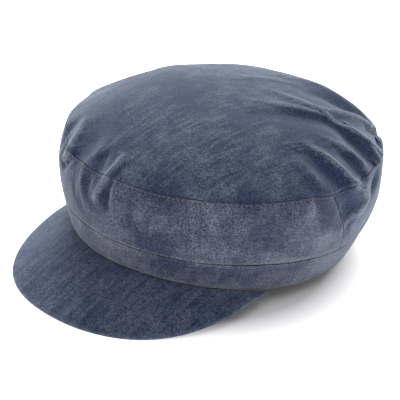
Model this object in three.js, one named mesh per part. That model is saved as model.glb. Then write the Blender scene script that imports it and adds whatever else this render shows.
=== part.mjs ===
// A skipper cap in washed cotton canvas, in millimetres and degrees, +Z up.
// The wearer faces -Y and +X is the wearer's left. The cap rests on the table as it would by itself:
// on the edge of its peak and on the back of its band, so that its front stands a little high.
import * as THREE from 'three';

// A turn is an angle round the cap, from 0 at the front towards the wearer's left.
// A station is a place on the crown's cloth: 0 at the middle of the top, 1 at the top seam and
// 2 at the seam to the band.
const HEAD_HALF_WIDTH = 88.4;
const HEAD_HALF_LENGTH = 101.1;
const CLOTH_WALL = 1.6;
const BAND_WALL = 3;
const SEAM_GAP = 0.3;
const DOME_RISE = 32.7;
const DOME_FULLNESS = 2.6;
const BELLY_STATION = 1.45;
const SIDE_SEAM = { turn: 91, lean: 6.5, reach: 16 };
const PEAK = {
  turn: -2.5,
  halfTurn: 70.5,
  length: 55.2,
  endLength: 2.5,
  slope: 28,
  cornerDip: 34,
  endRise: 64,
  wall: 3.6,
  edgeWall: 2.6,
  crown: 1.5,
  rootLift: 4,
  outlinePower: 2.2,
  cornerPower: 1.4,
};
const REST = { tilt: 6.1, raise: 9.6 };

const radians = THREE.MathUtils.degToRad;
const { lerp, clamp } = THREE.MathUtils;

function table(columns, rows) {
  return rows.map((row) => Object.fromEntries(columns.map((name, i) => [name, row[i]])));
}

// Level lines round the cap: how far each stands out from the head oval, and how high it runs.
const SECTIONS = Object.fromEntries(
  table(
    ['name', 'outFront', 'outSide', 'outBack', 'upFront', 'upSide', 'upBack'],
    [
      ['bandFoot', 0, 0, 0, 0, 0, 0],
      ['bandTop', 8.6, 8.6, 8.6, 22.5, 22.5, 22.5],
      ['belly', 14, 15.8, 13, 47, 51, 54],
      ['topSeam', 11.4, 14.3, 8.9, 64.3, 72.9, 80.8],
    ],
  ).map((row) => [row.name, row]),
);

// Which way the wall's thickness runs at each station, as degrees above level.
const WALL_LEAN = table(
  ['station', 'lean'],
  [
    [0, 90],
    [0.7, 62],
    [0.9, 48],
    [1, 30],
    [1.12, 10],
    [1.5, 0],
    [2, -14],
  ],
);

// Ridges and hollows where the slack crown folds. Each runs along a curve through three places on the
// cloth, rises there by three amounts, which are negative in a hollow, and dies away over its width.
const FOLDS = table(
  [
    ...['name', 'turnA', 'stationA', 'turnB', 'stationB', 'turnC', 'stationC'],
    ...['riseA', 'riseB', 'riseC', 'width'],
  ],
  [
    ['backRidge', 178, 0.5, 168, 0.72, 160, 0.95, 1, 3, 1.5, 13],
    ['leftUpperRidge', 99, 0.34, 120, 0.6, 134, 0.95, 0.8, 2.2, 1.2, 7],
    ['leftUpperHollow', 149, 0.58, 153, 0.78, 157, 0.98, -1, -1.5, -2, 10],
    ['leftCrest', 112, 0.5, 116, 0.76, 120, 1, 0.8, 2.2, 0.8, 7],
    ['leftCrestHollow', 128, 0.82, 129, 0.92, 129, 1.1, -1, -3.5, -4, 5],
    ['leftRimSlack', 126, 0.84, 127, 1, 126, 1.2, -1, -2.6, -1, 16],
    ['leftDeepHollow', 106, 0.68, 109, 0.83, 110, 1, -1.5, -4.5, -4, 6],
    ['leftSmallHollow', 95, 0.78, 98, 0.88, 101, 1, -1, -3, -3, 5],
    ['leftLongRidge', 82, 0.7, 91, 0.94, 104, 1.25, 0.8, 3.4, 2.6, 5],
    ['leftFrontHollow', 80, 0.76, 85, 0.89, 88, 1.02, -0.8, -2.4, -3, 6],
    ['leftFrontDip', 71, 0.79, 73, 0.9, 75, 1, -0.5, -1, -1, 7],
    ['seamHollow', 90, 1.06, 94, 1.27, 97, 1.52, -3, -3.4, -1.5, 7],
    ['seamRidge', 107, 1.24, 100, 1.39, 94, 1.52, 2.4, 2.4, 0.8, 6],
    ['frontRidge', -3, 0.86, 0, 1.05, -4, 1.45, 0.4, 3, 0.4, 5],
    ['frontHollow', 6, 1.05, 5, 1.25, 3, 1.5, -2.6, -2.6, -0.6, 6],
    ['frontUpperHollow', -16, 0.83, -13, 0.92, -11, 1.03, -0.5, -2, -2, 8],
    ['rightRidge', -35, 0.85, -24, 1.04, -20, 1.66, 0.5, 3, 0.6, 6],
    ['rightNotch', -40, 0.88, -41, 1, -41, 1.14, -1, -2.4, -1, 7],
    ['rightSideRidge', -78, 0.8, -76, 1, -74, 1.3, 1, 2, 1, 9],
    ['backHollow', -130, 0.82, -131, 1, -133, 1.28, -1, -2.5, -1, 10],
  ],
);
const FOLD_STEPS = 12;
const FOLD_BLEND = 3;

// Turns and stations at which the cloth is sampled, closer together where it is folded.
const TURN_SPANS = table(
  ['from', 'to', 'step'],
  [
    [-90, -48, 6],
    [-48, 12, 3],
    [12, 66, 6],
    [66, 141, 2.5],
    [141, 273, 6],
  ],
);
const TOP_STATIONS = [0.14, 0.28, 0.42, 0.54, 0.64, 0.72, 0.79, 0.86, 0.93];
const SIDE_STATIONS = [1.06, 1.14, 1.24, 1.35, 1.48, 1.65, 1.84];
const SEAM_HALF_STATION = { top: 0.0016, side: 0.004, foot: 0.008 };
const BAND_LEVELS = [0, 0.5, 1];
const PEAK_LEVELS = [0, 0.25, 0.5, 0.72, 0.88, 1];

// A value that runs smoothly round the cap through its front, side and back amounts.
function roundTheCap(turn, front, side, back) {
  const c = Math.cos(turn);
  return side + ((front - back) / 2) * c + ((front + back) / 2 - side) * c * c;
}

function ovalNormal(turn) {
  const normal = new THREE.Vector3(Math.sin(turn) / HEAD_HALF_WIDTH, -Math.cos(turn) / HEAD_HALF_LENGTH, 0);
  return normal.normalize();
}

function ovalPoint(turn, out, up) {
  const point = new THREE.Vector3(HEAD_HALF_WIDTH * Math.sin(turn), -HEAD_HALF_LENGTH * Math.cos(turn), up);
  return point.addScaledVector(ovalNormal(turn), out);
}

function sectionAt(turn, { outFront, outSide, outBack, upFront, upSide, upBack }) {
  return {
    out: roundTheCap(turn, outFront, outSide, outBack),
    up: roundTheCap(turn, upFront, upSide, upBack),
  };
}

// The middle of the top seam, which the dome rises over.
const TOP_MIDDLE = new THREE.Vector3(
  0,
  (SECTIONS.topSeam.outBack - SECTIONS.topSeam.outFront) / 2,
  (SECTIONS.topSeam.upFront + SECTIONS.topSeam.upBack) / 2,
);

function smoothTop(turn, station) {
  const { out, up } = sectionAt(turn, SECTIONS.topSeam);
  const point = TOP_MIDDLE.clone().lerp(ovalPoint(turn, out, up), station);
  point.z += DOME_RISE * (1 - station ** DOME_FULLNESS);
  return point;
}

// The side cloth is a parabola through the top seam, the belly and the band's top.
function smoothSide(turn, station) {
  const v = station - 1;
  const belly = BELLY_STATION - 1;
  const shares = [
    ((v - belly) * (v - 1)) / belly,
    (v * (v - 1)) / (belly * (belly - 1)),
    (v * (v - belly)) / (1 - belly),
  ];
  const rows = [SECTIONS.topSeam, SECTIONS.belly, SECTIONS.bandTop].map((row) => sectionAt(turn, row));
  const sum = (key) => rows.reduce((total, row, i) => total + row[key] * shares[i], 0);
  return ovalPoint(turn, sum('out'), sum('up'));
}

function smoothCrown(turn, station) {
  return station <= 1 ? smoothTop(turn, station) : smoothSide(turn, station);
}

function wallDirection(turn, station) {
  const next = Math.max(1, WALL_LEAN.findIndex((row) => row.station >= station));
  const [a, b] = [WALL_LEAN[next - 1], WALL_LEAN[next]];
  const lean = radians(lerp(a.lean, b.lean, (station - a.station) / (b.station - a.station)));
  return ovalNormal(turn).multiplyScalar(Math.cos(lean)).setZ(Math.sin(lean));
}

// The fold's rise after so many of the two stretches between its places.
function riseAlong({ riseA, riseB, riseC }, stretches) {
  return stretches < 1 ? lerp(riseA, riseB, stretches) : lerp(riseB, riseC, stretches - 1);
}

// A fold's line on the smooth crown, as points that carry how much it rises there.
function foldLine(fold) {
  const [a, b, c] = ['A', 'B', 'C'].map((end) => {
    const turn = radians(fold[`turn${end}`]);
    return new THREE.Vector2(Math.sin(turn), -Math.cos(turn)).multiplyScalar(fold[`station${end}`]);
  });
  const handle = b.clone().multiplyScalar(2).addScaledVector(a, -0.5).addScaledVector(c, -0.5);
  const curve = new THREE.QuadraticBezierCurve(a, handle, c);
  return curve.getPoints(FOLD_STEPS).map((place, i) => ({
    point: smoothCrown(Math.atan2(place.x, -place.y), place.length()),
    rise: riseAlong(fold, (2 * i) / FOLD_STEPS),
  }));
}

const FOLD_LINES = FOLDS.map((fold) => ({ width: fold.width, line: foldLine(fold) }));

// How far the folds lift or sink the cloth at a place. Where ridges meet, the higher one leads.
function foldRise(point) {
  let raised = 0;
  let sunk = 0;
  for (const { width, line } of FOLD_LINES) {
    let nearest = { distance: Infinity, rise: 0 };
    for (let i = 0; i < FOLD_STEPS; i++) {
      const segment = new THREE.Line3(line[i].point, line[i + 1].point);
      const share = segment.closestPointToPointParameter(point, true);
      const distance = segment.at(share, new THREE.Vector3()).distanceTo(point);
      if (distance < nearest.distance) {
        nearest = { distance, rise: lerp(line[i].rise, line[i + 1].rise, share) };
      }
    }
    const rise = nearest.rise * Math.exp(-((nearest.distance / width) ** 2));
    if (rise > 0) raised += rise ** FOLD_BLEND;
    else sunk += (-rise) ** FOLD_BLEND;
  }
  return raised ** (1 / FOLD_BLEND) - sunk ** (1 / FOLD_BLEND);
}

// The crown's cloth at a depth inside its outer face.
function crownPoint(turn, station, depth) {
  const smooth = smoothCrown(turn, station);
  return smooth.clone().addScaledVector(wallDirection(turn, station), foldRise(smooth) - depth);
}

// How far a turn lies from the middle of the peak, as a share of the way to its end.
function peakShare(turn) {
  return clamp(Math.abs(turn - radians(PEAK.turn)) / radians(PEAK.halfTurn), 0, 1);
}

// The band's foot is lifted over the peak, where the peak's stiff root arches.
function footLift(turn) {
  return PEAK.rootLift * (1 - peakShare(turn) ** 2);
}

function bandPoint(turn, level, depth) {
  const top = SECTIONS.bandTop;
  const up = lerp(footLift(turn), top.upSide - SEAM_GAP, level);
  const out = lerp(0, top.outSide, up / top.upSide);
  return ovalPoint(turn, out - depth, up);
}

// The peak slopes down a little more at its front corners, and hardly at all at its ends.
function peakPoint(turn, level, depth) {
  const share = peakShare(turn);
  const width = (1 - share ** PEAK.outlinePower) ** PEAK.cornerPower;
  const reach = PEAK.endLength + (PEAK.length - PEAK.endLength) * width;
  const slope = radians(PEAK.slope + PEAK.cornerDip * share ** 2 - PEAK.endRise * share ** 4);
  const outward = ovalNormal(turn).multiplyScalar(Math.cos(slope)).setZ(-Math.sin(slope));
  const upward = ovalNormal(turn).multiplyScalar(Math.sin(slope)).setZ(Math.cos(slope));
  const wall = depth > 0 ? lerp(PEAK.wall, PEAK.edgeWall, level ** 4) : 0;
  return ovalPoint(turn, 0, footLift(turn) - SEAM_GAP)
    .addScaledVector(outward, reach * level)
    .addScaledVector(upward, PEAK.crown * 4 * level * (1 - level) * width - wall);
}

// Sets the level cap down on the table, and flattens any cloth that would reach below it.
const SET_DOWN = new THREE.Matrix4()
  .makeTranslation(0, 0, REST.raise)
  .multiply(new THREE.Matrix4().makeRotationX(radians(-REST.tilt)));

function setDown(point) {
  point.applyMatrix4(SET_DOWN);
  point.z = Math.max(point.z, 0);
  return point;
}

// A wall between an outer and an inner grid of points. Columns run round the cap and rows down the
// cloth. The columns may close on themselves, and the first row may shrink to one point at a middle.
function wall(outerRows, innerRows, { closed, middle }) {
  const columns = outerRows[0].length;
  const rows = outerRows.length;
  const positions = [...outerRows.flat(), ...innerRows.flat()].flatMap((p) => p.toArray());
  const inner = rows * columns;
  const faces = [];
  const quad = (a, b, c, d) => faces.push(a, b, c, a, c, d);
  const spans = closed ? columns : columns - 1;
  for (let i = 0; i < spans; i++) {
    const j = (i + 1) % columns;
    for (let r = 0; r < rows - 1; r++) {
      const [a, b, c, d] = [r * columns + i, (r + 1) * columns + i, (r + 1) * columns + j, r * columns + j];
      quad(a, b, c, d);
      quad(inner + d, inner + c, inner + b, inner + a);
    }
    const last = (rows - 1) * columns;
    quad(last + i, inner + last + i, inner + last + j, last + j);
    if (!middle) quad(j, inner + j, inner + i, i);
  }
  if (middle) {
    positions.push(...middle[0].toArray(), ...middle[1].toArray());
    const [outerMiddle, innerMiddle] = [2 * inner, 2 * inner + 1];
    for (let i = 0; i < columns; i++) {
      const j = (i + 1) % columns;
      faces.push(outerMiddle, i, j, innerMiddle, inner + j, inner + i);
    }
  }
  if (!closed) {
    for (let r = 0; r < rows - 1; r++) {
      const [a, b] = [r * columns, (r + 1) * columns];
      const [c, d] = [a + columns - 1, b + columns - 1];
      quad(a, inner + a, inner + b, b);
      quad(d, inner + d, inner + c, c);
    }
  }
  const geometry = new THREE.BufferGeometry();
  geometry.setAttribute('position', new THREE.Float32BufferAttribute(positions, 3));
  geometry.setIndex(faces);
  geometry.computeVertexNormals();
  return geometry;
}

function spread(surface, turns, levels, wallDepth, options = {}) {
  const grid = (depth) => levels.map((level) => turns.map((turn) => setDown(surface(turn, level, depth))));
  return wall(grid(0), grid(wallDepth), options);
}

function turnsBetween(from, to) {
  const inside = TURN_SPANS.flatMap((span) => {
    const steps = Math.round((span.to - span.from) / span.step);
    return Array.from({ length: steps }, (_, i) => span.from + i * span.step);
  }).filter((turn) => turn > from + 1 && turn < to - 1);
  return [from, ...inside, to].map(radians);
}

function evenTurns(from, to, steps) {
  return Array.from({ length: steps + 1 }, (_, i) => radians(lerp(from, to, i / steps)));
}

function topPanel() {
  const turns = turnsBetween(-90, 270).slice(0, -1);
  const levels = [...TOP_STATIONS, 1 - SEAM_HALF_STATION.top];
  const middle = [0, CLOTH_WALL].map((depth) => setDown(crownPoint(0, 0, depth)));
  return spread(crownPoint, turns, levels, CLOTH_WALL, { closed: true, middle });
}

// The slack cloth has pulled the left side seam askew, forward at its top and back at its foot.
function sidePoint(turn, station, depth) {
  const near = Math.exp(-(((turn - radians(SIDE_SEAM.turn)) / radians(SIDE_SEAM.reach)) ** 2));
  const askew = radians(SIDE_SEAM.lean) * (2 * station - 3) * near;
  return crownPoint(turn + askew, station, depth);
}

function sidePanel(fromTurn, toTurn) {
  const halfGap = THREE.MathUtils.radToDeg(SEAM_GAP / 2 / (HEAD_HALF_WIDTH + SECTIONS.bandTop.outSide));
  const levels = [1 + SEAM_HALF_STATION.side, ...SIDE_STATIONS, 2 - SEAM_HALF_STATION.foot];
  return spread(sidePoint, turnsBetween(fromTurn + halfGap, toTurn - halfGap), levels, CLOTH_WALL);
}

function band() {
  const turns = evenTurns(0, 360, 72).slice(0, -1).map((turn) => (turn > Math.PI ? turn - 2 * Math.PI : turn));
  return spread(bandPoint, turns, [...BAND_LEVELS].reverse(), BAND_WALL, { closed: true });
}

function peak() {
  return spread(peakPoint, evenTurns(PEAK.turn - PEAK.halfTurn, PEAK.turn + PEAK.halfTurn, 44), PEAK_LEVELS, PEAK.wall);
}

// Washed canvas: one cloth for the whole cap, a little darker on the peak.
function canvas(colour) {
  return new THREE.MeshStandardMaterial({ color: colour, roughness: 0.92, metalness: 0 });
}
const CROWN_CANVAS = canvas(0x4b586e);
const BAND_CANVAS = canvas(0x4a5266);
const PEAK_CANVAS = canvas(0x3f4c68);

const cap = new THREE.Group();
for (const [name, geometry, material] of [
  ['top_panel', topPanel(), CROWN_CANVAS],
  ['front_side_panel', sidePanel(-SIDE_SEAM.turn, SIDE_SEAM.turn), CROWN_CANVAS],
  ['back_side_panel', sidePanel(SIDE_SEAM.turn, 360 - SIDE_SEAM.turn), CROWN_CANVAS],
  ['band', band(), BAND_CANVAS],
  ['peak', peak(), PEAK_CANVAS],
]) {
  const piece = new THREE.Mesh(geometry, material);
  piece.name = name;
  cap.add(piece);
}

// The middle of the cap's length and width stands over the frame's origin.
const middle = new THREE.Box3().setFromObject(cap).getCenter(new THREE.Vector3());
for (const piece of cap.children) piece.geometry.translate(-middle.x, -middle.y, 0);

export default cap;
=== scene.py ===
"""A skipper cap in washed canvas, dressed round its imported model, with its floor, lights and camera."""

import math

import bpy
import numpy as np
from mathutils import Matrix, Vector, noise


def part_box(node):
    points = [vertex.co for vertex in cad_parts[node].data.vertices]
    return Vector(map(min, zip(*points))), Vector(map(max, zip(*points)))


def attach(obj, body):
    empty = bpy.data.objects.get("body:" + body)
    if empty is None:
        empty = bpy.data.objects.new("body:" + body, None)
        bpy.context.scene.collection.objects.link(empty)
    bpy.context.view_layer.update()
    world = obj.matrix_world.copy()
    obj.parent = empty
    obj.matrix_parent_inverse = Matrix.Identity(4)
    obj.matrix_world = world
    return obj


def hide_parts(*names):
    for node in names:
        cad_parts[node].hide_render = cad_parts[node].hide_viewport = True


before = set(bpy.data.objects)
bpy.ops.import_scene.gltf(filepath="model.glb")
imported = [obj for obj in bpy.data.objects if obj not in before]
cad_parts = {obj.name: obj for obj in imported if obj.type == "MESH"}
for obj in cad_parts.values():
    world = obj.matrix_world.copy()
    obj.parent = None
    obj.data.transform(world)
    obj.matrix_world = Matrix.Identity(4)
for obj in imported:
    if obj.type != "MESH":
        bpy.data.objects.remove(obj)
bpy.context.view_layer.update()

# The cap as it lies.
# It rests on the edge of its peak and the back of its band, with its front a little high. The cloth
# is worked out in the level cap's millimetres, with turns from the front towards the wearer's left.
MM = 0.001
REST_TILT = math.radians(6.1)
REST_RAISE = 9.6
HEAD_HALF_WIDTH = 88.4
HEAD_HALF_LENGTH = 101.1
BAND_HEIGHT = 22.5
BAND_FLARE = 8.6
SEAM_GAP = 0.3

band_low, band_high = (np.array(corner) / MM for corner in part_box("band"))
band_back_reach = (
    (HEAD_HALF_LENGTH + BAND_FLARE) * math.cos(REST_TILT)
    + (BAND_HEIGHT - SEAM_GAP) * math.sin(REST_TILT)
)
CAP_PLACE = np.array([(band_low[0] + band_high[0]) / 2, band_high[1] - band_back_reach, REST_RAISE])


def set_down(points):
    """Level millimetres to the frame's metres. Cloth that would reach below the table lies flat on it."""
    c, s = math.cos(REST_TILT), math.sin(REST_TILT)
    x, y, z = points.T
    placed = np.stack([x, y * c + z * s, z * c - y * s], 1) + CAP_PLACE
    placed[:, 2] = np.maximum(placed[:, 2], 0)
    return placed * MM


def oval_normal(turn):
    """Straight out from the band's oval, and level."""
    normal = np.stack([np.sin(turn) / HEAD_HALF_WIDTH, -np.cos(turn) / HEAD_HALF_LENGTH, 0 * turn], 1)
    return normal / np.linalg.norm(normal, axis=1, keepdims=True)


def oval_point(turn, out, up):
    """Points outside the band's oval by out, and above the foot of the band by up."""
    point = np.stack([HEAD_HALF_WIDTH * np.sin(turn), -HEAD_HALF_LENGTH * np.cos(turn), up + 0 * turn], 1)
    return point + oval_normal(turn) * np.reshape(out, (-1, 1))


# The crown: a slack oval top sewn to a curved side.
# Each is a single wall of canvas, folded where the slack cloth bunches up, worn pale where it rubs, and
# painted darker as shade in its hollows. Stations run from 0 at the middle of the top, through 1 at the
# top seam, to 2 at the band.
CLOTH_THICKNESS = 1.1
DOME_RISE = 32.7
DOME_FULLNESS = 2.6
BELLY_STATION = 1.45
SECTIONS = {
    # name: out at front, side and back, then up at front, side and back
    "top seam": (11.4, 14.3, 8.9, 64.3, 72.9, 80.8),
    "belly": (14, 15.8, 13, 47, 51, 54),
    "band top": (BAND_FLARE, BAND_FLARE, BAND_FLARE, BAND_HEIGHT, BAND_HEIGHT, BAND_HEIGHT),
}
WALL_LEAN = np.array([
    # station, degrees above level
    (0, 90),
    (0.7, 62),
    (0.9, 48),
    (1, 30),
    (1.12, 10),
    (1.5, 0),
    (2, -14),
])
FOLDS = [
    # turn and station at its start, middle and end, rise at each, width before it and after it
    # gathered at the wearer's left and behind it, on the top and over the top seam
    (173, 0.47, 163, 0.67, 152, 0.83, 1.5, 3, 2.5, 6, 12),
    (-147, 0.18, 175, 0.26, 160, 0.42, 0.5, 1, 0.5, 4, 4),
    (133, 0.18, 120, 0.36, 116.5, 0.53, 0.4, 1.4, 2.4, 3.5, 4),
    (116.5, 0.53, 128, 0.69, 138.5, 0.87, 2.4, 3.2, 3.4, 5, 3),
    (146, 0.5, 147, 0.68, 143, 0.84, -1.5, -3.6, -3.6, 8, 7),
    (64, 0.2, 100.5, 0.41, 115, 0.6, 0.4, 1.6, 2.4, 2.5, 4),
    (115, 0.6, 116, 0.76, 119, 0.93, 2.4, 3.4, 3, 2.5, 5),
    (120, 0.86, 117, 0.92, 115.5, 0.98, 1.6, 2.6, 2.2, 2.5, 3),
    (143, 1, 138, 0.96, 131.5, 0.89, -2, -4, -2, 3, 3),
    (130, 0.95, 129, 0.96, 126, 0.97, -2, -3, -2, 1.5, 1.5),
    (72, 0.38, 98.5, 0.51, 115.5, 0.68, -0.7, -1.8, -2.4, 9, 4),
    (113, 0.66, 111.5, 0.8, 111.5, 0.93, -2.2, -3.8, -2.8, 10, 4.2),
    (95, 0.7, 101, 0.81, 105, 0.93, 0.5, 1.7, 1.2, 2.2, 2.6),
    (96, 0.79, 99.5, 0.87, 99, 0.99, -1, -2.8, -2.6, 7, 3.5),
    (80.5, 0.68, 88.5, 0.83, 93, 1.01, 0.6, 2.8, 3.4, 2.4, 3),
    (93, 1.01, 98, 1.1, 104, 1.34, 3.4, 3.2, 1.6, 5, 5),
    (80, 0.77, 85, 0.87, 89.5, 1.02, -0.8, -2.6, -3.2, 9.5, 3.4),
    (77.5, 0.84, 78.5, 0.91, 79.5, 0.96, 0.4, 1.2, 0.8, 2.5, 3),
    (71.5, 0.86, 72.5, 0.92, 74.5, 0.97, -0.5, -1, -0.8, 5, 5),
    # on the left side, below the top seam
    (87.5, 1.12, 91.5, 1.31, 94.5, 1.52, -3, -4.2, -2.2, 8, 5),
    (114, 1.06, 110, 1.2, 106, 1.36, -1, -3.4, -1.5, 4, 5),
    (105.5, 1.34, 97.5, 1.45, 92, 1.64, 2.5, 2.5, 0.8, 4, 5),
    (74, 1.05, 74.5, 1.16, 76, 1.29, 0.6, 1, 0.4, 2.5, 3),
    # on the right of the front
    (-36, 0.89, -29, 0.94, -22.5, 1.01, 1, 3, 4.2, 4, 2.2),
    (-22.5, 1.01, -23.5, 1.12, -26, 1.25, 4.2, 4, 3.2, 4, 2.2),
    (-36, 1.08, -33, 1.16, -31.5, 1.3, 0.8, 2.5, 2, 6, 5),
    (-41, 0.94, -38, 1.01, -34.5, 1.16, -1, -3.2, -3, 4.5, 4),
    (-20, 1.09, -24, 1.24, -27, 1.37, -1.5, -2.5, -1.5, 2.5, 2.5),
    (-27.5, 0.87, -21, 0.91, -17, 0.98, -1.4, -2.6, -1.8, 8, 8),
    # on the middle of the front
    (-10, 0.81, -9.5, 0.89, -11.5, 0.96, 0.4, 1.6, 0.6, 4, 4),
    (-10, 0.87, -7.5, 0.93, -4.5, 0.99, -0.8, -2.5, -2, 3.5, 3.5),
    (-1.5, 0.88, 2, 1.02, -2, 1.42, 0.8, 5, 2, 2.4, 2.2),
    (3, 1.1, 2, 1.32, 3, 1.5, -2.5, -4.5, -1.5, 2.6, 2.6),
    (-6, 1.1, -7.5, 1.25, -7.5, 1.4, -1, -2, -1, 2.4, 2.4),
    (2.5, 0.93, 1.5, 0.96, 1, 1.01, 0.3, 1.2, 0.8, 1.8, 2.5),
    (4.8, 1.02, 4.8, 1.2, 5.3, 1.4, 1.2, 1.6, 0.6, 2.2, 3),
    (-11.5, 1.02, -10.5, 1.36, -6.5, 1.69, 0.6, 1.4, 0.5, 3, 3),
    (-14.5, 1.17, -13.5, 1.45, -12.5, 1.76, 0.4, 1.2, 0.4, 3, 3),
    (-13, 1.14, -14.5, 1.48, -10.5, 1.73, -0.4, -1.2, -0.4, 3, 3),
    # a long fine crease across the top
    (16, 0.64, 26, 0.55, 49, 0.31, 0.15, 0.35, 0.15, 1.5, 2),
    (49, 0.31, 80, 0.22, 123, 0.17, 0.15, 0.35, 0.15, 1.5, 2),
    # soft folds round the right and the back
    (-78, 0.8, -76, 1, -74, 1.3, 1, 2, 1, 8, 9),
    (-104, 0.72, -103, 0.9, -101, 1.12, 0.5, 2.2, 1, 6, 5),
    (-95, 0.84, -94, 0.96, -93, 1.08, -0.5, -2, -1, 5, 5),
    (-130, 0.82, -131, 1, -133, 1.28, -1, -2.5, -1, 9, 10),
    (-150, 0.74, -152, 0.92, -149, 1.2, 0.5, 2, 0.8, 6, 7),
]
FOLD_STEPS = 14
FOLD_BLEND = 3
RIDGE_SHAPE = 1.4
HOLLOW_SHAPE = 2
CREST_ROUND = 0.9
CREST_WEAR_WIDTH = 0.42
HOLLOW_SHADE_WIDTH = 2.2
CREST_WORN_CLEAR = 2
FOLD_FULL = 4
# Patches of paler and darker cloth. Some are wear and uneven wash. The dark ones in hollows and under
# overhanging cloth are painted shade, and the pale ones on the right of the band and the side above it
# are partly painted light.
PALE_AND_SHADED_PLACES = [
    # turn and station (2 to 3 on the band), reach along and down, how much paler or darker
    # on the top
    (-120, 0.4, 38, 40, 0.35),
    (-58, 0.55, 22, 30, -0.3),
    (-45, 0.76, 22, 26, -0.5),
    (-38, 0.97, 8, 6, -0.7),
    (-35, 0.36, 16, 40, -0.45),
    (-22.5, 0.87, 10, 12, -0.5),
    (-18, 0.93, 9, 9, -0.4),
    (5, 0.955, 6, 6, 0.3),
    (7, 0.34, 10, 40, -0.3),
    (24, 0.96, 14, 12, -0.45),
    (38, 0.86, 42, 24, 0.25),
    (51.5, 0.98, 5, 5, -1.2),
    (53, 0.45, 12, 40, -0.3),
    (60, 0.12, 34, 30, -0.2),
    (62, 0.91, 12, 10, 0.15),
    (75.5, 0.79, 10, 12, -0.35),
    (83.5, 0.81, 6, 9, -0.3),
    (87, 0.92, 7, 9, -0.6),
    (92.5, 0.55, 14, 12, -0.5),
    (96.5, 0.91, 5, 9, -0.4),
    (105.5, 0.67, 9, 12, -0.5),
    (105.5, 0.88, 6, 9, -0.5),
    (109, 0.79, 9, 12, -0.5),
    (148, 0.7, 14, 14, -0.7),
    (150, 0.25, 30, 20, 0.25),
    # on the side
    (-34, 1.14, 9, 9, -1.6),
    (-12, 1.5, 9, 12, -0.45),
    (-9, 1.78, 12, 9, -0.35),
    (-4, 1.54, 5, 14, 0.3),
    (6.5, 2, 14, 6, 0.3),
    (7, 1.17, 6, 7, 0.35),
    (9, 1.3, 12, 10, -0.25),
    (12.5, 1.6, 6, 9, -0.25),
    (22, 1.13, 11, 9, -0.35),
    (23, 1.81, 11, 9, -0.45),
    (36, 1.96, 18, 2, 0.4),
    (38.5, 1.78, 10, 4.5, 0.35),
    (40, 1.42, 14, 10, -0.15),
    (55.5, 1.83, 26, 4, 0.35),
    (58, 1.54, 8, 8, -0.2),
    (64.5, 1.13, 9, 8, 0.2),
    (70, 1.96, 24, 2.2, 0.8),
    (73, 1.5, 10, 14, 0.5),
    (74, 1.18, 3, 7, 1.2),
    (78.5, 1.21, 4, 6, -0.3),
    (82.5, 1.1, 3.5, 5, 0.5),
    (84, 1.72, 17, 9, 1.3),
    (90, 1.24, 6, 10, -0.7),
    (112, 1.1, 10, 8, -1.3),
    # on the band
    (25, 2.22, 22, 8, -0.35),
    (49, 2.24, 30, 8, -0.3),
    (72.5, 2.36, 14, 8, -0.15),
    (94, 2.44, 16, 10, 0.9),
]
SEAM_SAGS = [
    # turn, degrees to each side, stations that the top seam hangs lower
    (-20, 5, 0.055),
    (-8, 8, 0.035),
    (86, 7, 0.065),
]
SAG_REACH = 0.25
# Painted shade along the groove of the top seam.
SEAM_SHADE = 0.45
SEAM_SHADE_REACH = 1.8
EDGE_WEAR = 0.7
EDGE_WEAR_REACH = 1.4
SLACK = [
    # millimetres across a lump, how far it stands
    (42, 0.9),
    (17, 0.35),
    (8, 0.1),
]
SEAM_EDGE = np.array([
    # millimetres from the seam, millimetres that the edge has rolled in
    (3.2, 0),
    (2.4, 0.01),
    (1.8, 0.03),
    (1.3, 0.06),
    (0.95, 0.11),
    (0.65, 0.19),
    (0.42, 0.33),
    (0.28, 0.56),
    (0.2, 0.95),
    (0.16, 1.55),
    (0.15, 2.4),
    (0.15, 3.2),
])
SEAM_ALLOWANCE = np.array([
    # the same, for the spare cloth that passes the seam behind the next piece
    (0, 3.7),
    (-2.4, 4),
])
WELD_DISTANCE = 0.00001
BEND_FULL = 0.1
BEND_SOFTENING = 3
BEND_LEAST_SQUARE = 0.04


def vertex_array(piece, what="co"):
    values = np.zeros(len(piece.data.vertices) * 3, np.float32)
    piece.data.vertices.foreach_get(what, values)
    return values.reshape(-1, 3).astype(float)


def new_cloth(name, columns, rows):
    """A flat sheet of mesh to shape, and where each of its points lies on it, from 0 to 1 both ways."""
    bpy.ops.object.select_all(action="DESELECT")
    bpy.ops.mesh.primitive_grid_add(x_subdivisions=columns, y_subdivisions=rows, size=1)
    cloth = bpy.context.object
    cloth.name = name
    across, along, _ = (vertex_array(cloth) + 0.5).T
    return cloth, across, along


def shape_cloth(cloth, points, weave):
    """Moves the sheet's points to their places, and lays its weave, in metres, as its UV map."""
    cloth.data.vertices.foreach_set("co", set_down(points).astype(np.float32).ravel())
    loops = np.zeros(len(cloth.data.loops), np.int32)
    cloth.data.loops.foreach_get("vertex_index", loops)
    cloth.data.uv_layers[0].data.foreach_set("uv", (weave[loops] * MM).astype(np.float32).ravel())
    cloth.data.update()


def close_cloth(cloth):
    """Sews up the sheet's edges where they meet, and turns its faces outwards."""
    bpy.context.view_layer.objects.active = cloth
    bpy.ops.object.mode_set(mode="EDIT")
    bpy.ops.mesh.select_all(action="SELECT")
    bpy.ops.mesh.remove_doubles(threshold=WELD_DISTANCE)
    bpy.ops.mesh.dissolve_degenerate(threshold=WELD_DISTANCE)
    bpy.ops.mesh.select_all(action="SELECT")
    bpy.ops.mesh.normals_make_consistent(inside=False)
    bpy.ops.object.mode_set(mode="OBJECT")
    bpy.ops.object.shade_smooth()


def keep_values(cloth, name, values):
    """Keeps a value from -1 to 1 for each point as an attribute that the canvas reads."""
    attribute = cloth.data.attributes.new(name, "FLOAT", "POINT")
    attribute.data.foreach_set("value", np.clip(values, -1, 1).astype(np.float32))


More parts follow.
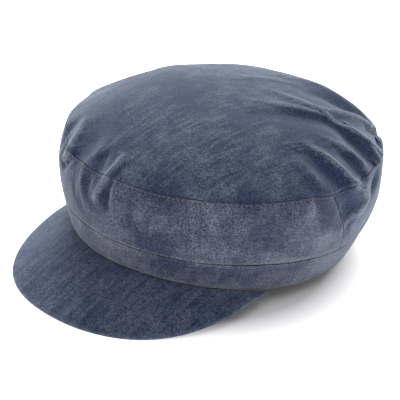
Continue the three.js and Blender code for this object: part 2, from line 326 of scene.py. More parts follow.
def mark_bends(cloth):
    """Keeps how sharply the cloth bends, above 0 on ridges and below 0 in hollows. The canvas paints
    ridges paler with it, as wear and highlight, and hollows darker, as shade.
    """
    edges = np.zeros(len(cloth.data.edges) * 2, np.int32)
    cloth.data.edges.foreach_get("vertices", edges)
    a, b = edges.reshape(-1, 2).T
    places = vertex_array(cloth) / MM
    count = len(places)
    ends = np.concatenate([a, b])
    others = np.concatenate([b, a])
    normals = vertex_array(cloth, "normal")
    offsets = places[others] - places[ends]
    lengths = np.maximum((offsets**2).sum(1), BEND_LEAST_SQUARE)
    drop = -(offsets * normals[ends]).sum(1) / lengths
    degree = np.maximum(np.bincount(ends, minlength=count), 1)
    bend = np.bincount(ends, drop, minlength=count) / degree
    for _ in range(BEND_SOFTENING):
        bend = (bend + np.bincount(ends, bend[others], minlength=count) / degree) / 2
    keep_values(cloth, "bend", bend / BEND_FULL)


def give_wall(cloth, thickness):
    """Gives the sheet its thickness, towards the inside of the cap."""
    bpy.context.view_layer.objects.active = cloth
    wall = cloth.modifiers.new("wall", "SOLIDIFY")
    wall.thickness = thickness * MM
    wall.offset = -1
    bpy.ops.object.modifier_apply(modifier=wall.name)


def round_the_cap(turn, front, side, back):
    """A size that changes smoothly from the front round the sides to the back."""
    c = np.cos(turn)
    return side + (front - back) / 2 * c + ((front + back) / 2 - side) * c**2


def section_at(turn, name):
    row = SECTIONS[name]
    return round_the_cap(turn, *row[:3]), round_the_cap(turn, *row[3:])


TOP_MIDDLE = np.array([
    0,
    (SECTIONS["top seam"][2] - SECTIONS["top seam"][0]) / 2,
    (SECTIONS["top seam"][3] + SECTIONS["top seam"][5]) / 2,
])


def smooth_crown(turn, station):
    """The crown with no fold in it: a dome above the top seam, and a parabola down each side."""
    reach = np.clip(station, 0, 1)[:, None]
    top = TOP_MIDDLE + (oval_point(turn, *section_at(turn, "top seam")) - TOP_MIDDLE) * reach
    top[:, 2] += DOME_RISE * (1 - reach[:, 0] ** DOME_FULLNESS)
    v, belly = np.maximum(station, 1) - 1, BELLY_STATION - 1
    shares = [
        (v - belly) * (v - 1) / belly,
        v * (v - 1) / (belly * (belly - 1)),
        v * (v - belly) / (1 - belly),
    ]
    rows = [section_at(turn, name) for name in ("top seam", "belly", "band top")]
    out, up = (sum(row[i] * share for row, share in zip(rows, shares)) for i in (0, 1))
    return np.where(station[:, None] <= 1, top, oval_point(turn, out, up))


def wall_direction(turn, station):
    """Straight out of the smooth crown's cloth."""
    lean = np.radians(np.interp(station, *WALL_LEAN.T))
    direction = oval_normal(turn) * np.cos(lean)[:, None]
    direction[:, 2] = np.sin(lean)
    return direction


def fold_line(turns, stations):
    """Points on the smooth crown along the curve through a fold's three places."""
    turns = np.radians(turns)
    a, b, c = np.stack([np.sin(turns), -np.cos(turns)], 1) * np.reshape(stations, (-1, 1))
    t = np.linspace(0, 1, FOLD_STEPS + 1)[:, None]
    flat = a * (1 - t) ** 2 + (4 * b - a - c) * t * (1 - t) + c * t**2
    return smooth_crown(np.arctan2(flat[:, 0], -flat[:, 1]), np.hypot(*flat.T))


def fold_rise(points, outward):
    """How far the folds lift or sink the cloth, how worn pale that leaves each crest, and how dark each
    hollow is painted as shade.

    Where ridges meet, the higher one leads. Only a ridge's crest wears, and painted shade darkens a
    hollow well up its sides.
    """
    raised, sunk, worn, hollow_shade = np.zeros((4, len(points)))
    for row in FOLDS:
        line = fold_line(row[0:6:2], row[1:6:2])
        rises = np.interp(np.linspace(0, 2, FOLD_STEPS + 1), [0, 1, 2], row[6:9])
        nearest, rise = np.full(len(points), np.inf), np.zeros(len(points))
        width = np.ones(len(points))
        for i in range(FOLD_STEPS):
            step = line[i + 1] - line[i]
            away = points - line[i]
            share = np.clip(away @ step / (step @ step), 0, 1)
            away = away - step * share[:, None]
            distance = np.sqrt((away**2).sum(1))
            closer = distance < nearest
            after = (np.cross(step, away) * outward).sum(1) > 0
            nearest = np.where(closer, distance, nearest)
            rise = np.where(closer, rises[i] + (rises[i + 1] - rises[i]) * share, rise)
            width = np.where(closer, np.where(after, row[10], row[9]), width)
        rounded = (np.hypot(nearest, CREST_ROUND) - CREST_ROUND) / width
        ridge, hollow = np.maximum(rise, 0), np.maximum(-rise, 0)
        raised += (ridge * np.exp(-(rounded**RIDGE_SHAPE))) ** FOLD_BLEND
        sunk += (hollow * np.exp(-(rounded**HOLLOW_SHAPE))) ** FOLD_BLEND
        worn += (ridge * np.exp(-((rounded / CREST_WEAR_WIDTH) ** 2))) ** FOLD_BLEND
        # painted shade, darkest down the hollow and reaching well up its sides
        hollow_shade += (hollow * np.exp(-((rounded / HOLLOW_SHADE_WIDTH) ** 2))) ** FOLD_BLEND
    raised, sunk, worn, hollow_shade = (total ** (1 / FOLD_BLEND) for total in (raised, sunk, worn, hollow_shade))
    return raised - sunk, (worn - hollow_shade * np.clip(1 - worn / CREST_WORN_CLEAR, 0, 1)) / FOLD_FULL


def slackness(points):
    """Soft lumps all over the washed cloth."""
    return np.array([
        sum(height * noise.noise(Vector(point) / size) for size, height in SLACK) for point in points
    ])


def sagged(turn, station):
    """Stations after the slack cloth has drawn the top seam down in places."""
    turn_degrees = np.degrees((turn + math.pi) % (2 * math.pi) - math.pi)
    sag = sum(low * np.exp(-(((turn_degrees - at) / reach) ** 2)) for at, reach, low in SEAM_SAGS)
    return station + sag * np.exp(-(((station - 1) / SAG_REACH) ** 2))


def band_face(turn, height):
    """The band's outer face, which leans out as it rises."""
    return oval_point(turn, BAND_FLARE * height / BAND_HEIGHT, height)


def pale_and_shaded_patches(points):
    """How much paler or darker the cloth is painted in the listed places: wear and uneven wash where it
    rubs, painted shade where it is sheltered, and painted light on the band's right.
    """
    total = np.zeros(len(points))
    for turn_degrees, station, along, down, amount in PALE_AND_SHADED_PLACES:
        turn = np.radians([turn_degrees])
        if station > 2:
            place = band_face(turn, np.array([(3 - station) * BAND_HEIGHT]))
        else:
            place = smooth_crown(turn, np.array([station]))
        away = (points - place) / (along, along, down)
        total += amount * np.exp(-(away**2).sum(1))
    return total


def crown_cloth(turn, station, sunk):
    """The crown's points, and how worn each is, with painted shade in its hollows and sheltered places.
    """
    station = sagged(turn, station)
    smooth = smooth_crown(turn, station)
    outward = wall_direction(turn, station)
    rise, wear_and_shade = fold_rise(smooth, outward)
    return smooth + outward * (rise + slackness(smooth) - sunk)[:, None], wear_and_shade + pale_and_shaded_patches(smooth)


def shade_by_seam(from_seam):
    """Painted shade that darkens the cloth in the groove along a seam."""
    return SEAM_SHADE * np.exp(-((from_seam / SEAM_SHADE_REACH) ** 2))


def rubbed_edge(from_edge):
    """How worn the cloth is along an edge that stands proud of the next piece."""
    return EDGE_WEAR * np.exp(-((from_edge / EDGE_WEAR_REACH) ** 2))


def sewn(share, steps, start, end, per_mm, start_sewn=True):
    """Spreads a sheet's steps from start to end. An edge that is sewn to the next piece rolls in.

    The sheet's end also runs on behind the next piece, as its spare cloth does.
    """
    from_seam, rolled = np.vstack([SEAM_EDGE, SEAM_ALLOWANCE]).T
    shares = 1 - np.arange(len(rolled))[::-1] / steps
    places, depths = end - from_seam * per_mm, rolled
    if start_sewn:
        from_seam, rolled = SEAM_EDGE.T
        shares = np.append(np.arange(len(rolled)) / steps, shares)
        places = np.append((start + from_seam * per_mm)[::-1], places)
        depths = np.append(rolled[::-1], depths)
    else:
        shares, places, depths = np.append(0, shares), np.append(start, places), np.append(0, depths)
    return np.interp(share, shares, places), np.interp(share, shares, depths)


# Washed canvas.
# Cotton canvas dyed navy and washed until it has greyed. Its ridges are paler, partly from wear and
# partly as painted highlight, and its hollows and seam grooves are painted darker as shade. Threads of
# uneven colour run through it both ways, and the pile catches side light.
CANVAS_BUMP, CANVAS_BUMP_DEPTH = 0.45, 0.0004
CANVAS_SPECULAR = 0.2
PILE_SHEEN, PILE_ROUGHNESS = 0.4, 0.4
PILE_TINT = (0.78, 0.9, 1, 1)
PATTERNS = {
    # name: what it follows, how fine it is each way per metre, levels of finer detail
    "lumps": ("Place", (26, 26, 26), 2),
    "patches": ("Place", (110, 110, 110), 4),
    "streaks": ("Weave", (320, 45, 1), 3),
    "slubs": ("Weave", (60, 480, 1), 3),
    "warp": ("Weave", (1500, 420, 1), 2),
    "weft": ("Weave", (420, 1500, 1), 2),
    "specks": ("Place", (1250, 1250, 1250), 1),
}
PATTERN_ROUGHNESS = 0.6
PATTERN_MIDDLE = 0.5
LUMPS_SHARE, PATCHES_SHARE, SLUBS_SHARE, SPECKS_SHARE = 1.4, 1.3, 0.6, 1.2
BEND_WEAR_AND_SHADE_SHARE, WEAR_AND_SHADE_SHARE = 0.4, 0.8
WEAVE_ROUGHNESS, THREADS_ROUGHNESS = 0.86, 0.1
PATCHES_HEIGHT = 0.6


def add_node(tree, kind, inputs=(), **settings):
    """Adds a node with its settings, and links or sets each of its inputs that is given."""
    node = tree.nodes.new(kind)
    for name, value in settings.items():
        setattr(node, name, value)
    for name, value in dict(inputs).items():
        if isinstance(value, bpy.types.NodeSocket):
            tree.links.new(value, node.inputs[name])
        else:
            node.inputs[name].default_value = value
    return node


def worked_out(tree, operation, *values):
    """One step of arithmetic on values that change over the cloth."""
    return add_node(tree, "ShaderNodeMath", enumerate(values), operation=operation).outputs[0]


def scaled_noise(tree, place, scale, detail):
    """Noise about 0, as fine each way as scale says."""
    stretched = add_node(tree, "ShaderNodeVectorMath", {0: place, 1: scale}, operation="MULTIPLY")
    settings = {"Scale": 1, "Detail": detail, "Roughness": PATTERN_ROUGHNESS}
    cloud = add_node(tree, "ShaderNodeTexNoise", {"Vector": stretched.outputs[0], **settings})
    return worked_out(tree, "SUBTRACT", cloud.outputs[0], PATTERN_MIDDLE)


washed = bpy.data.node_groups.new("washed canvas", "ShaderNodeTree")
for name, kind in (
    ("Place", "Vector"),
    ("Weave", "Vector"),
    ("Bend", "Float"),
    ("Wear_And_Shade", "Float"),
    ("Deep Dye", "Color"),
    ("Washed Dye", "Color"),
    ("Wash", "Float"),
    ("Mottle", "Float"),
    ("Streaks", "Float"),
    ("Threads", "Float"),
):
    washed.interface.new_socket(name, in_out="INPUT", socket_type="NodeSocket" + kind)
for name, kind in (("Color", "Color"), ("Roughness", "Float"), ("Height", "Float")):
    washed.interface.new_socket(name, in_out="OUTPUT", socket_type="NodeSocket" + kind)
given = washed.nodes.new("NodeGroupInput").outputs
seen = {
    name: scaled_noise(washed, given[follows], scale, detail)
    for name, (follows, scale, detail) in PATTERNS.items()
}
mottling = worked_out(washed, "MULTIPLY", seen["lumps"], LUMPS_SHARE)
mottling = worked_out(washed, "MULTIPLY_ADD", seen["patches"], PATCHES_SHARE, mottling)
mottling = worked_out(washed, "MULTIPLY_ADD", seen["streaks"], given["Streaks"], mottling)
mottling = worked_out(washed, "MULTIPLY_ADD", seen["slubs"], SLUBS_SHARE, mottling)
share = worked_out(washed, "MULTIPLY_ADD", mottling, given["Mottle"], given["Wash"])
# Curvature paints ridges paler, as wear and highlight, and hollows darker, as painted shade.
share = worked_out(washed, "MULTIPLY_ADD", given["Bend"], BEND_WEAR_AND_SHADE_SHARE, share)
# The wear attribute pales rubbed places and darkens hollows, seam grooves and sheltered places as painted
# shade.
share = worked_out(washed, "MULTIPLY_ADD", given["Wear_And_Shade"], WEAR_AND_SHADE_SHARE, share)
threads = worked_out(washed, "ADD", seen["warp"], seen["weft"])
threads = worked_out(washed, "MULTIPLY_ADD", seen["specks"], SPECKS_SHARE, threads)
# The mix carries painted shade and highlight as well as the dyes' wash and mottling.
dye = add_node(
    washed,
    "ShaderNodeMix",
    {"Factor": share, "A": given["Deep Dye"], "B": given["Washed Dye"]},
    data_type="RGBA",
    clamp_factor=True,
)
brightness = worked_out(washed, "MULTIPLY_ADD", threads, given["Threads"], 1)
shaded = add_node(
    washed, "ShaderNodeVectorMath", {0: dye.outputs["Result"], "Scale": brightness}, operation="SCALE"
)
result = washed.nodes.new("NodeGroupOutput")
washed.links.new(shaded.outputs[0], result.inputs["Color"])
roughness = worked_out(washed, "MULTIPLY_ADD", threads, THREADS_ROUGHNESS, WEAVE_ROUGHNESS)
washed.links.new(roughness, result.inputs["Roughness"])
height = worked_out(washed, "MULTIPLY_ADD", seen["patches"], PATCHES_HEIGHT, threads)
washed.links.new(height, result.inputs["Height"])


def canvas(name, deep, faded, wash, mottle, streaks, threads):
    """A canvas of its own dye, more washed, mottled or streaked than the next."""
    material = bpy.data.materials.new(name)
    material.use_nodes = True
    tree = material.node_tree
    shader = tree.nodes["Principled BSDF"]
    places = tree.nodes.new("ShaderNodeTexCoord")
    cloth = add_node(tree, "ShaderNodeGroup", node_tree=washed)
    tree.links.new(places.outputs["Object"], cloth.inputs["Place"])
    tree.links.new(places.outputs["UV"], cloth.inputs["Weave"])
    for socket in ("Bend", "Wear_And_Shade"):
        attribute = add_node(tree, "ShaderNodeAttribute", attribute_name=socket.lower())
        tree.links.new(attribute.outputs["Fac"], cloth.inputs[socket])
    for socket, value in (
        ("Deep Dye", (*deep, 1)),
        ("Washed Dye", (*faded, 1)),
        ("Wash", wash),
        ("Mottle", mottle),
        ("Streaks", streaks),
        ("Threads", threads),
    ):
        cloth.inputs[socket].default_value = value
    bump = add_node(
        tree,
        "ShaderNodeBump",
        {
            "Height": cloth.outputs["Height"],
            "Distance": CANVAS_BUMP_DEPTH,
            "Strength": CANVAS_BUMP,
        },
    )
    tree.links.new(cloth.outputs["Color"], shader.inputs["Base Color"])
    tree.links.new(cloth.outputs["Roughness"], shader.inputs["Roughness"])
    tree.links.new(bump.outputs["Normal"], shader.inputs["Normal"])
    shader.inputs["Sheen Weight"].default_value = PILE_SHEEN
    shader.inputs["Sheen Roughness"].default_value = PILE_ROUGHNESS
    shader.inputs["Sheen Tint"].default_value = PILE_TINT
    shader.inputs["Specular IOR Level"].default_value = CANVAS_SPECULAR
    return material


def dress(piece, material):
    """Gives a finished piece its cloth."""
    piece.data.materials.clear()
    piece.data.materials.append(material)


# The top panel.
# One oval of canvas, cut flat and drawn up into a low dome. Its edge turns in at the top seam, where
# it is sewn to the side panels.
TOP_RINGS = 104
TOP_STATION_PER_MM = 0.0073
TOP_FLAT_RADIUS = 125
TOP_WEAVE_TURN = math.radians(12)
LEAST_RING = 1e-6
TOP_CANVAS = {
    "name": "top canvas",
    "deep": (0.02, 0.032, 0.073),
    "faded": (0.084, 0.108, 0.144),
    "wash": 0.31,
    "mottle": 0.95,
    "streaks": 1.9,
    "threads": 2.4,
}

top_panel, across, along = new_cloth("top_panel_cloth", 2 * TOP_RINGS, 2 * TOP_RINGS)
across, along = 2 * across - 1, 2 * along - 1
ring = np.maximum(np.abs(across), np.abs(along))
sideways = np.abs(across) > np.abs(along)
eighth = np.where(sideways, along, across) / np.maximum(ring, LEAST_RING) * math.pi / 4
turn = np.where(along < 0, eighth, math.pi - eighth)
turn = np.where(sideways, np.sign(across) * (math.pi / 2 + eighth), turn)
station, sunk = sewn(ring, TOP_RINGS, 0, 1, TOP_STATION_PER_MM, start_sewn=False)
laid = turn + TOP_WEAVE_TURN
flat = np.stack([np.sin(laid), -np.cos(laid)], 1) * (station * TOP_FLAT_RADIUS)[:, None]
points, wear_and_shade = crown_cloth(turn, station, sunk)
shape_cloth(top_panel, points, flat)
# painted shade along the top seam's groove
keep_values(top_panel, "wear_and_shade", wear_and_shade - shade_by_seam((1 - station) / TOP_STATION_PER_MM))
close_cloth(top_panel)
mark_bends(top_panel)
give_wall(top_panel, CLOTH_THICKNESS)
dress(top_panel, canvas(**TOP_CANVAS))
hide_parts("top_panel")
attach(top_panel, "root")

# The side panels.
# Two curved strips of canvas meet in a seam over each ear. The slack cloth has pulled the left seam
# askew, forward at its top and back at its foot.
TOP_STITCH_DROP = 2.4
TOP_STITCH_DENT = 0.25
TOP_STITCH_SPREAD = 0.8
SIDE_SEAM_TURN = 91
SIDE_SEAM_LEAN = 6.5
SIDE_SEAM_REACH = 16
SIDE_ROWS = 70
SIDE_STATION_PER_MM = 0.0192
SIDE_TURN_PER_MM = 0.556
SIDE_RADIUS = 103
SIDE_HEIGHT = 52
FRONT_CANVAS = {
    "name": "front side canvas",
    "deep": (0.025, 0.032, 0.065),
    "faded": (0.098, 0.11, 0.151),
    "wash": 0.28,
    "mottle": 1.05,
    "streaks": 0.8,
    "threads": 2.5,
}
BACK_CANVAS = {
    "name": "back side canvas",
    "deep": (0.022, 0.034, 0.073),
    "faded": (0.095, 0.115, 0.156),
    "wash": 0.4,
    "mottle": 1.2,
    "streaks": 0.8,
    "threads": 2.3,
}
SIDES = [
    # name, CAD node, first turn, last turn, columns, canvas
    ("front_side_cloth", "front_side_panel", -SIDE_SEAM_TURN, SIDE_SEAM_TURN, 320, FRONT_CANVAS),
    ("back_side_cloth", "back_side_panel", SIDE_SEAM_TURN, 360 - SIDE_SEAM_TURN, 260, BACK_CANVAS),
]


def askew(turn_degrees, station):
    """Turns after the left seam has been pulled askew, with the cloth beside it."""
    near = np.exp(-(((turn_degrees - SIDE_SEAM_TURN) / SIDE_SEAM_REACH) ** 2))
    return np.radians(turn_degrees + SIDE_SEAM_LEAN * (2 * station - 3) * near)


for name, node, first, last, columns, finish in SIDES:
    side, across, along = new_cloth(name, columns, SIDE_ROWS)
    turn_degrees, sunk_end = sewn(across, columns, first, last, SIDE_TURN_PER_MM)
    station, sunk_row = sewn(1 - along, SIDE_ROWS, 1, 2, SIDE_STATION_PER_MM)
    from_stitches = ((station - 1) / SIDE_STATION_PER_MM - TOP_STITCH_DROP) / TOP_STITCH_SPREAD
    sunk = np.maximum(sunk_row, sunk_end) + TOP_STITCH_DENT * np.exp(-(from_stitches**2))
    points, wear_and_shade = crown_cloth(askew(turn_degrees, station), station, sunk)
    flat = np.stack([np.radians(turn_degrees) * SIDE_RADIUS, (2 - station) * SIDE_HEIGHT], 1)
    shape_cloth(side, points, flat)
    # painted shade along the top seam's groove
    wear_and_shade -= shade_by_seam((station - 1) / SIDE_STATION_PER_MM)
    wear_and_shade += rubbed_edge((2 - station) / SIDE_STATION_PER_MM)
    keep_values(side, "wear_and_shade", wear_and_shade)
    close_cloth(side)
    mark_bends(side)
    give_wall(side, CLOTH_THICKNESS)
    dress(side, canvas(**finish))
    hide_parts(node)
    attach(side, "root")

# The band.
# A strip of canvas folded over a stiff tape, so that it has a face, a round foot and a back. Its foot
# arches over the root of the peak.
BAND_COLUMNS = 400
BAND_FACE_DEPTH = 1.5
BAND_PUFF = 0.5
BAND_LUMPS = 0.5
PEAK_TURN = -2.5
PEAK_HALF_TURN = 70.5
PEAK_ROOT_LIFT = 4
BAND_SECTION = np.array([
    # depth behind the face, height
    (2.9, 21.6),
    (2.4, 22.2),
    (1.7, 22.4),
    (1.2, 22.4),
    (0.8, 22.37),
    (0.5, 22.3),
    (0.28, 22.18),
    (0.12, 21.95),
    (0.04, 21.5),
    (0, 20.8),
    (0, 19.3),
    *((0, height) for height in np.linspace(18, 4, 15)),
    (0, 3),
    (0.06, 2.1),
    (0.22, 1.3),
    (0.5, 0.65),
    (0.95, 0.2),
    (1.5, 0),
    (2.05, 0.2),
    (2.5, 0.65),
    (2.8, 1.3),
    (2.95, 2.4),
    (3, 4),
    (3, 9),
    (3, 15),
    (2.98, 20),
    (2.9, 21.6),
])
BAND_TOP = BAND_SECTION[:, 1].max()
BAND_CANVAS = {
    "name": "band canvas",
    "deep": (0.023, 0.03, 0.064),
    "faded": (0.09, 0.1, 0.138),
    "wash": 0.38,
    "mottle": 1.3,
    "streaks": 0.8,
    "threads": 2.4,
}


def peak_share(turn):
    """How far a turn lies from the middle of the peak, as a share of the way to its end."""
    turn = (turn + math.pi) % (2 * math.pi) - math.pi
    return np.clip(np.abs(turn - math.radians(PEAK_TURN)) / math.radians(PEAK_HALF_TURN), 0, 1)


def foot_lift(turn):
    """How far the band's foot arches up over the root of the peak."""
    return PEAK_ROOT_LIFT * (1 - peak_share(turn) ** 2)


def band_point(turn, depth, height):
    """Depth runs in behind the face. The face is a little puffed and lumpy over the tape."""
    up = height + foot_lift(turn) * (1 - height / BAND_TOP)
    face = band_face(turn, up)
    on_face = depth < BAND_FACE_DEPTH
    puff = BAND_PUFF * np.sin(math.pi * np.clip(height / BAND_TOP, 0, 1)) * on_face
    out = puff - depth + BAND_LUMPS * slackness(face) * on_face
    return face + oval_normal(turn) * out[:, None]


band, across, along = new_cloth("band_cloth", BAND_COLUMNS, len(BAND_SECTION) - 1)
turn = across * 2 * math.pi
steps = (1 - along) * (len(BAND_SECTION) - 1)
depth, height = (np.interp(steps, np.arange(len(BAND_SECTION)), column) for column in BAND_SECTION.T)
shape_cloth(band, band_point(turn, depth, height), np.stack([turn * SIDE_RADIUS, height - depth], 1))
keep_values(band, "wear_and_shade", pale_and_shaded_patches(band_face(turn, height)))
close_cloth(band)
mark_bends(band)
dress(band, canvas(**BAND_CANVAS))
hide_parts("band")
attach(band, "root")

# The peak.
# A stiff crescent board covered in the same canvas above and below, with a rounded rim. It slopes
# down and out from under the band, a little more at its front corners and hardly at all at its ends.
PEAK_COLUMNS = 240
PEAK_LENGTH = 55.2
PEAK_END_LENGTH = 2.5
PEAK_SLOPE, PEAK_CORNER_DIP, PEAK_END_RISE = 28, 34, 64
PEAK_WALL, PEAK_EDGE_WALL, PEAK_TAPER_POWER = 3.6, 2.6, 4
PEAK_CROWN = 1.5
PEAK_OUTLINE_POWER, PEAK_CORNER_POWER = 2.2, 1.4
PEAK_TOP_ROWS, PEAK_RIM_ROWS, PEAK_UNDER_ROWS = 44, 10, 20
PEAK_UNDER_START = 0.001
PEAK_END_ROUND = 0.03
PEAK_LUMPS = 0.55
PEAK_RIB_FADE, PEAK_RIB_POWER = 0.03, 0.8
PEAK_RIBS = [
    # turn at the root and at the rim, how far it stands, degrees across
    (2, -7, 0.7, 5),
    (14, 7, -0.35, 4),
    (-18, -24, -0.3, 5),
    (28, 24, 0.3, 4),
]
PEAK_CANVAS = {
    "name": "peak canvas",
    "deep": (0.018, 0.031, 0.073),
    "faded": (0.076, 0.096, 0.145),
    "wash": 0.38,
    "mottle": 1,
    "streaks": 2.1,
    "threads": 2.2,
}


def peak_point(turn, level, rim, under):
    """Level runs from root to rim along the top or the underside. Rim turns round the edge, 0 to 1."""
    share = peak_share(turn)
    width = (1 - share**PEAK_OUTLINE_POWER) ** PEAK_CORNER_POWER
    reach = PEAK_END_LENGTH + (PEAK_LENGTH - PEAK_END_LENGTH) * width
    slope = np.radians(PEAK_SLOPE + PEAK_CORNER_DIP * share**2 - PEAK_END_RISE * share**4)
    outward = oval_normal(turn) * np.cos(slope)[:, None]
    outward[:, 2] = -np.sin(slope)
    upward = oval_normal(turn) * np.sin(slope)[:, None]
    upward[:, 2] = np.cos(slope)
    radius = PEAK_EDGE_WALL / 2
    wall = PEAK_WALL + (PEAK_EDGE_WALL - PEAK_WALL) * level**PEAK_TAPER_POWER
    out = reach * level - radius * level + radius * np.sin(math.pi * rim)
    crown = PEAK_CROWN * 4 * level * (1 - level) * width
    rise = np.zeros(len(turn))
    faded = np.clip(level, PEAK_RIB_FADE, 1 - PEAK_RIB_FADE) ** PEAK_RIB_POWER
    for root_turn, rim_turn, height, spread in PEAK_RIBS:
        aside = np.degrees(turn) - (root_turn + (rim_turn - root_turn) * level)
        rise += height * np.exp(-((aside / spread) ** 2)) * np.sin(math.pi * faded)
    down = np.where(under > 0, wall, radius * (1 - np.cos(math.pi * rim)))
    start = oval_point(turn, 0, foot_lift(turn) - SEAM_GAP)
    middle = start + outward * (reach / 2)[:, None] - upward * (wall / 2)[:, None]
    point = start + outward * out[:, None] + upward * (crown - down)[:, None]
    point += upward * ((rise + PEAK_LUMPS * slackness(point)) * (under == 0))[:, None]
    shrink = np.sqrt(1 - np.clip((share - 1 + PEAK_END_ROUND) / PEAK_END_ROUND, 0, 1) ** 2)
    return middle + (point - middle) * shrink[:, None]


rim_end = PEAK_TOP_ROWS + PEAK_RIM_ROWS
under_end = rim_end + PEAK_UNDER_ROWS
peak_path = np.array([
    # step round the section, level, rim, under
    (0, 0, 0, 0),
    (PEAK_TOP_ROWS, 1, 0, 0),
    (rim_end, 1, 1, 0),
    (rim_end + PEAK_UNDER_START, 1, 1, 1),
    (under_end, 0, 1, 1),
    (under_end + 1, 0, 0, 0),
])
peak, across, along = new_cloth("peak_cloth", PEAK_COLUMNS, under_end + 1)
turn = np.radians(PEAK_TURN + PEAK_HALF_TURN * np.sin((across - 0.5) * math.pi))
steps = (1 - along) * (under_end + 1)
level, rim, under = (np.interp(steps, peak_path[:, 0], column) for column in peak_path[:, 1:].T)
under = (under > 0.5).astype(float)
points = peak_point(turn, level, rim, under)
shape_cloth(peak, points, points[:, :2])
close_cloth(peak)
mark_bends(peak)
dress(peak, canvas(**PEAK_CANVAS))
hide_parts("peak")
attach(peak, "root")

# The stitches.
# Two rows of navy thread, a little paler than the cloth: one on the side just under the top seam,
# where the seam's edges are sewn down behind it, and one round the foot of the band.
STITCH_PITCH = 3
STITCH_LENGTH = 2
STITCH_WIDTH = 0.6
STITCH_SIDES, STITCH_RINGS = 6, 5
BAND_STITCH_HEIGHT = 3.2
STITCH_SAMPLES = 1440
THREAD = {
    "name": "thread",
    "deep": (0.06, 0.07, 0.1),
    "faded": (0.18, 0.2, 0.25),
    "wash": 0.5,
    "mottle": 0.6,
    "streaks": 1,
    "threads": 0.6,
}


def stitch_row(name, line, outward):
    """Lays one stitch after another, half sunk, along a closed line of points on the cloth."""
    steps = np.roll(line, -1, 0) - line
    run = np.append(0, np.cumsum(np.linalg.norm(steps, axis=1)))
    count = int(run[-1] / STITCH_PITCH)
    bpy.ops.object.select_all(action="DESELECT")
    bpy.ops.mesh.primitive_uv_sphere_add(segments=STITCH_SIDES, ring_count=STITCH_RINGS, radius=0.5)
    row = bpy.context.object
    row.name = name
    stitch = vertex_array(row) * (STITCH_WIDTH, STITCH_WIDTH, STITCH_LENGTH)
    copies = row.modifiers.new("stitches", "ARRAY")
    copies.count = count
    bpy.ops.object.modifier_apply(modifier=copies.name)
    places = (np.arange(count) + 0.5) / count * run[-1]
    closed_line, closed_out = np.append(line, line[:1], 0), np.append(outward, outward[:1], 0)
    middles, outs, along = (
        np.stack([np.interp(places, run, column) for column in values.T], 1)
        for values in (closed_line, closed_out, np.append(steps, steps[:1], 0))
    )
    along /= np.linalg.norm(along, axis=1, keepdims=True)
    outs /= np.linalg.norm(outs, axis=1, keepdims=True)
    points = (
        middles[:, None]
        + stitch[None, :, :1] * outs[:, None]
        + stitch[None, :, 1:2] * np.cross(along, outs)[:, None]
        + stitch[None, :, 2:] * along[:, None]
    )
    row.data.vertices.foreach_set("co", set_down(points.reshape(-1, 3)).astype(np.float32).ravel())
    row.data.update()
    bpy.ops.object.shade_smooth()
    return row


thread = canvas(**THREAD)
turn_degrees = np.linspace(-180, 180, STITCH_SAMPLES, endpoint=False)
station = np.full(STITCH_SAMPLES, 1 + TOP_STITCH_DROP * SIDE_STATION_PER_MM)
turn = askew(turn_degrees, station)
line, _ = crown_cloth(turn, station, TOP_STITCH_DENT)
top_stitches = stitch_row("top_seam_stitches", line, wall_direction(turn, station))
dress(top_stitches, thread)
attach(top_stitches, "root")
turn = np.radians(turn_degrees)
line = band_point(turn, np.zeros(STITCH_SAMPLES), np.full(STITCH_SAMPLES, BAND_STITCH_HEIGHT))
band_stitches = stitch_row("band_foot_stitches", line, oval_normal(turn))
dress(band_stitches, thread)
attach(band_stitches, "root")

# The floor.
# A plain white sheet, lit from below as well but not under the cap, so that it throws light up onto
# the cap's sides.
FLOOR_WIDTH = 12
FLOOR_WHITE, FLOOR_ROUGHNESS = (0.93, 0.93, 0.93, 1), 0.9
FLOOR_GLOW = 1.1
FLOOR_DARK_WITHIN, FLOOR_GLOWS_FROM = 0.09, 0.135

bpy.ops.object.select_all(action="DESELECT")
bpy.ops.mesh.primitive_plane_add(size=FLOOR_WIDTH)
floor = bpy.context.object
floor.name = "floor"
paper = bpy.data.materials.new("white sheet")
paper.use_nodes = True
sheet = paper.node_tree.nodes["Principled BSDF"]
sheet.inputs["Base Color"].default_value = FLOOR_WHITE
sheet.inputs["Roughness"].default_value = FLOOR_ROUGHNESS
sheet.inputs["Emission Color"].default_value = (1, 1, 1, 1)
places = paper.node_tree.nodes.new("ShaderNodeTexCoord")
from_middle = add_node(
    paper.node_tree, "ShaderNodeVectorMath", {0: places.outputs["Object"]}, operation="LENGTH"
)
glow = add_node(
    paper.node_tree,
    "ShaderNodeMapRange",
    {
        "Value": from_middle.outputs["Value"],
        "From Min": FLOOR_DARK_WITHIN,
        "From Max": FLOOR_GLOWS_FROM,
        "To Max": FLOOR_GLOW,
    },
)
paper.node_tree.links.new(glow.outputs["Result"], sheet.inputs["Emission Strength"])
floor.data.materials.append(paper)

# The camera.
# It looks down at the cap from the wearer's front left, with a long lens, and is turned a little
# about its own axis.
CAMERA_TURN, CAMERA_HEIGHT, CAMERA_TILT = (math.radians(a) for a in (40.97, 27.39, 4.58))
CAMERA_AIM = Vector((-0.0108, 0.0133, 0.0293))
CAMERA_DISTANCE = 1.04
CAMERA_LENS = 136.6
CAMERA_SENSOR_WIDTH = 36

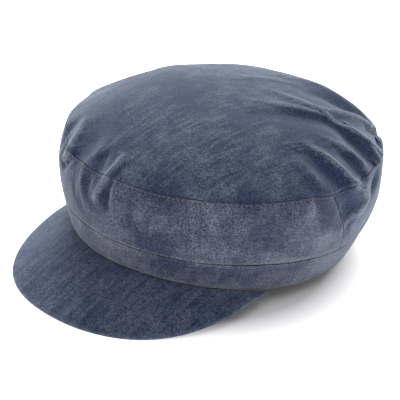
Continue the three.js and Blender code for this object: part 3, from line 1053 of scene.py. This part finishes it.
towards_camera = Vector((
    math.sin(CAMERA_TURN) * math.cos(CAMERA_HEIGHT),
    -math.cos(CAMERA_TURN) * math.cos(CAMERA_HEIGHT),
    math.sin(CAMERA_HEIGHT),
))
level_right = Vector((math.cos(CAMERA_TURN), math.sin(CAMERA_TURN), 0))
level_up = towards_camera.cross(level_right)
camera_right = level_right * math.cos(CAMERA_TILT) + level_up * math.sin(CAMERA_TILT)
camera_up = level_up * math.cos(CAMERA_TILT) - level_right * math.sin(CAMERA_TILT)
bpy.ops.object.camera_add()
camera = bpy.context.object
camera.matrix_world = (
    Matrix.Translation(CAMERA_AIM + towards_camera * CAMERA_DISTANCE)
    @ Matrix((camera_right, camera_up, towards_camera)).transposed().to_4x4()
)
camera.data.sensor_width = CAMERA_SENSOR_WIDTH
camera.data.lens = CAMERA_LENS
bpy.context.scene.camera = camera

# The lights.
# Four large soft boxes: a low one to each side, the main one high behind the cap, and one higher
# still over its front. The white room fills in the rest.
LIGHTS = [
    # name, direction from the camera's own in degrees, height, distance, side, watts
    ("left box", -105, 12, 1.6, 0.9, 5),
    ("right box", 85, 5, 1.6, 0.8, 3),
    ("top box", -172, 45, 1.6, 0.9, 31),
    ("front box", 10, 62, 1.7, 0.9, 6),
]
ROOM_LIGHT = 0.5

for name, aside, height, distance, side, watts in LIGHTS:
    bearing = CAMERA_TURN + math.radians(aside)
    level = math.cos(math.radians(height))
    away = Vector((math.sin(bearing) * level, -math.cos(bearing) * level, math.sin(math.radians(height))))
    bpy.ops.object.light_add(type="AREA", location=away * distance)
    lamp = bpy.context.object
    lamp.name = name
    lamp.rotation_euler = away.to_track_quat("Z", "Y").to_euler()
    lamp.data.size = side
    lamp.data.energy = watts
world = bpy.data.worlds.new("white room")
bpy.context.scene.world = world
world.use_nodes = True
world.node_tree.nodes["Background"].inputs["Color"].default_value = (1, 1, 1, 1)
world.node_tree.nodes["Background"].inputs["Strength"].default_value = ROOM_LIGHT
bpy.context.scene.view_settings.view_transform = "Standard"
